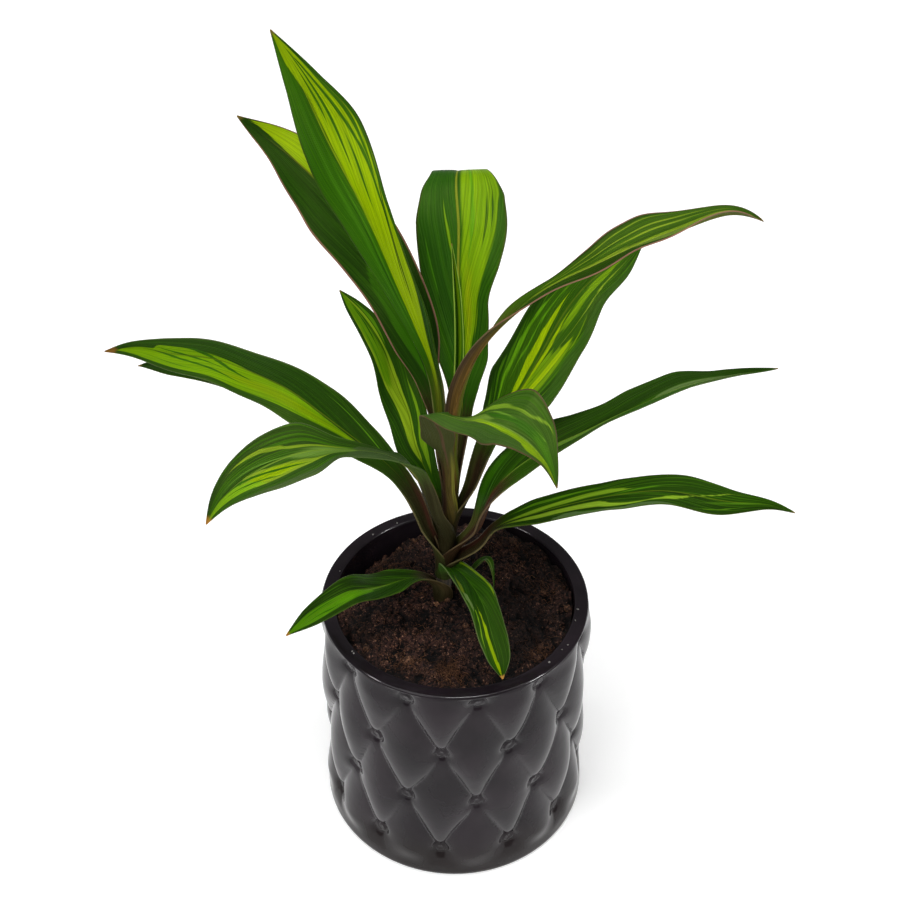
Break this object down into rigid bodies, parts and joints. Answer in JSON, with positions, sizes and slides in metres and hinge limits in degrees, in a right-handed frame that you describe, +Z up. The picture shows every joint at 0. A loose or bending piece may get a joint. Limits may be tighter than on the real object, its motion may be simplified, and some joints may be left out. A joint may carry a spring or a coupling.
{
  "type": "potted ti plant",
  "caption": "Young ti plant with long striped green leaves on a short stem, rooted in soil in a round ceramic pot with a quilted, buttoned wall.",
  "frame": {"origin": "centre of the pot's flat bottom, on the surface that it stands on", "axes": "+Z up along the pot's axis, -Y towards the front of the plant, +X to the right as seen from the front"},
  "size_m": [0.3305, 0.1767, 0.4013],
  "materials": {
    "pot": "gloss",
    "soil": "matte",
    "stem": "matte",
    "leaf": "satin"
  },
  "bodies": {
    "root": {"pot": "pot", "soil": "soil", "stem": "stem", "leaf_tall_left_front": "leaf", "leaf_tall_left_back": "leaf", "leaf_back_folded": "leaf", "leaf_right_long": "leaf", "leaf_right_broad": "leaf", "leaf_right_middle": "leaf", "leaf_front_folded": "leaf", "leaf_right_low": "leaf", "leaf_left_upper": "leaf", "leaf_left_folded": "leaf", "leaf_left_inner": "leaf", "leaf_small_left": "leaf", "leaf_small_front": "leaf", "leaf_small_curled": "leaf", "leaf_spear": "leaf", "leaf_left_hidden": "leaf"}
  },
  "joints": []
}
